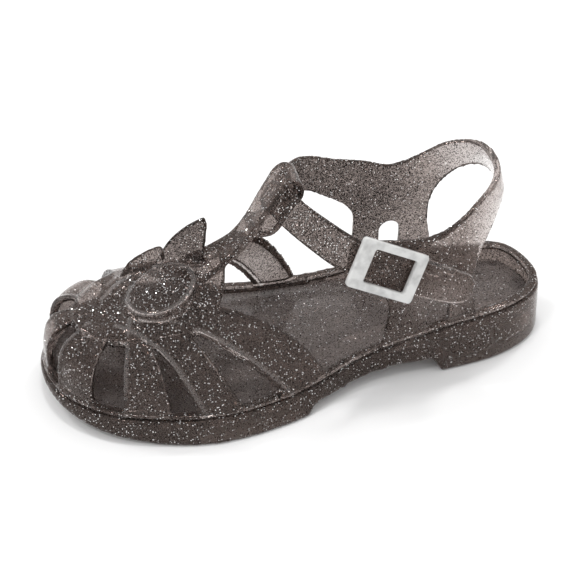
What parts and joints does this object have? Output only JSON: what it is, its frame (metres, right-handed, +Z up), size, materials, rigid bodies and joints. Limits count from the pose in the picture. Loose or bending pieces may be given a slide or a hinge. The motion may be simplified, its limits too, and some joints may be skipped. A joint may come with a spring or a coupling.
{
  "type": "jelly sandal",
  "caption": "Child's moulded jelly sandal for the left foot: fan cage with egg plate and leaves, instep strap, buckled ankle strap and open heel on a hollow block sole.",
  "frame": {"origin": "middle of the sandal's footprint box, on the floor that it stands on", "axes": "+X from heel to toe, +Y to the outer side of the left foot, where the buckle is, +Z up"},
  "size_m": [0.173, 0.0768, 0.0734],
  "materials": {
    "jelly_sole": "clear smoky soft plastic with silver glitter, glossy",
    "jelly_footbed": "clear smoky soft plastic with fine glitter, satin",
    "jelly_upper": "clear smoky soft plastic with silver glitter, glossy",
    "buckle_plastic": "pale hard plastic, slightly milky, glossy"
  },
  "bodies": {
    "root": {"sole": "jelly_sole", "footbed": "jelly_footbed", "upper": "jelly_upper", "buckle_frame": "buckle_plastic"}
  },
  "joints": []
}
